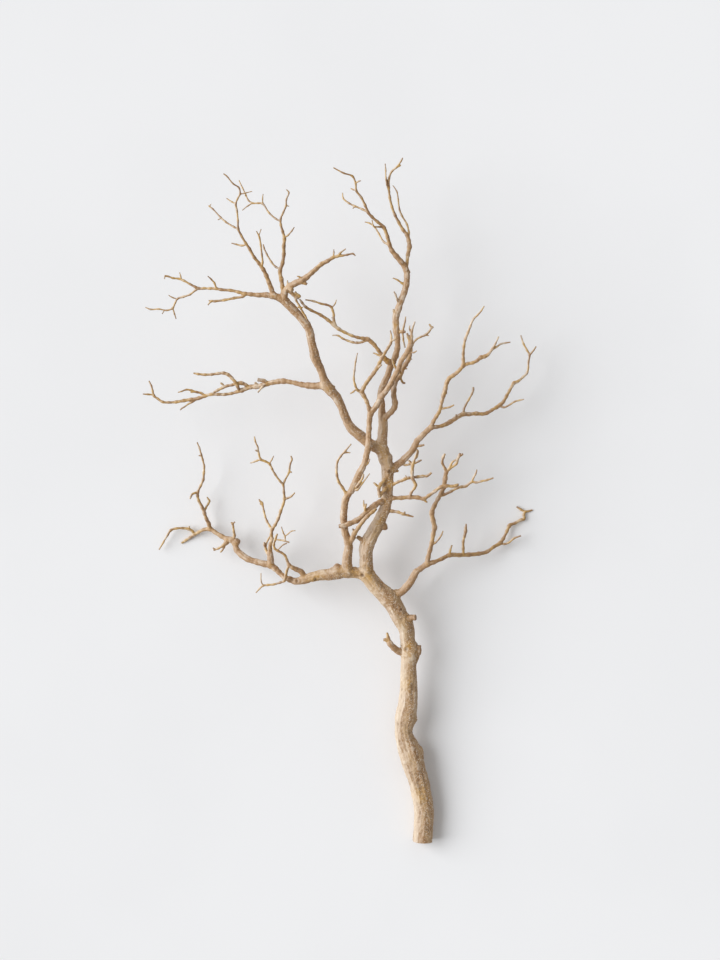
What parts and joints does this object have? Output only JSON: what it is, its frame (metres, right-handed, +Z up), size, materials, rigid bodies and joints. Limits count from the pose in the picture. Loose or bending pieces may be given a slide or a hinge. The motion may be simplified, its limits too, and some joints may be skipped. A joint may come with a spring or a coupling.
{
  "type": "driftwood branch",
  "caption": "Bare sandblasted branch with a sawn butt and many forked twigs, lying on its side as a decorative stem.",
  "frame": {"origin": "on the floor, under the middle of the branch as it lies", "axes": "+Y from the sawn butt to the tips, +X to the right seen from above, +Z up"},
  "size_m": [0.6271, 1.1036, 0.2379],
  "materials": {
    "trunk_wood": "matte sandblasted bare wood",
    "limb_wood": "matte sandblasted bare wood",
    "twig_wood": "matte sandblasted bare wood"
  },
  "bodies": {
    "root": {"trunk": "trunk_wood", "leader_lower": "trunk_wood", "leader_middle": "limb_wood", "leader_upper": "limb_wood", "top_limb": "limb_wood", "right_lower_limb": "limb_wood", "left_lower_limb": "limb_wood", "left_floor_limb": "limb_wood", "left_rising_limb": "limb_wood", "inner_limb": "limb_wood", "front_limb": "limb_wood", "main_left_limb": "limb_wood", "main_left_upper": "limb_wood", "left_middle_limb": "limb_wood", "crossing_stub_limb": "limb_wood", "right_upper_limb": "limb_wood", "top_left_spray": "twig_wood", "top_right_spray": "twig_wood", "right_floor_limb": "twig_wood", "right_rising_limb": "twig_wood", "right_rising_top": "twig_wood", "right_rising_side_twig": "twig_wood", "left_outer_twig": "twig_wood", "left_rising_right_twig": "twig_wood", "left_rising_left_twig": "twig_wood", "left_arch_twig": "twig_wood", "front_right_limb": "twig_wood", "inner_cross_twig": "twig_wood", "hoop_twig": "twig_wood", "front_left_twig": "twig_wood", "bow_limb": "twig_wood", "long_crossing_twig": "twig_wood", "upper_left_limb": "twig_wood", "left_middle_tip": "twig_wood", "upper_left_finger": "twig_wood", "upper_middle_finger": "twig_wood", "upper_right_arm": "twig_wood", "knuckle_twigs": "twig_wood", "right_middle_limb": "twig_wood", "upright_twig": "twig_wood", "right_middle_twig": "twig_wood", "right_outer_limb": "twig_wood", "right_tall_limb": "twig_wood", "right_tall_tip": "twig_wood", "right_tall_side_twig": "twig_wood"}
  },
  "joints": []
}
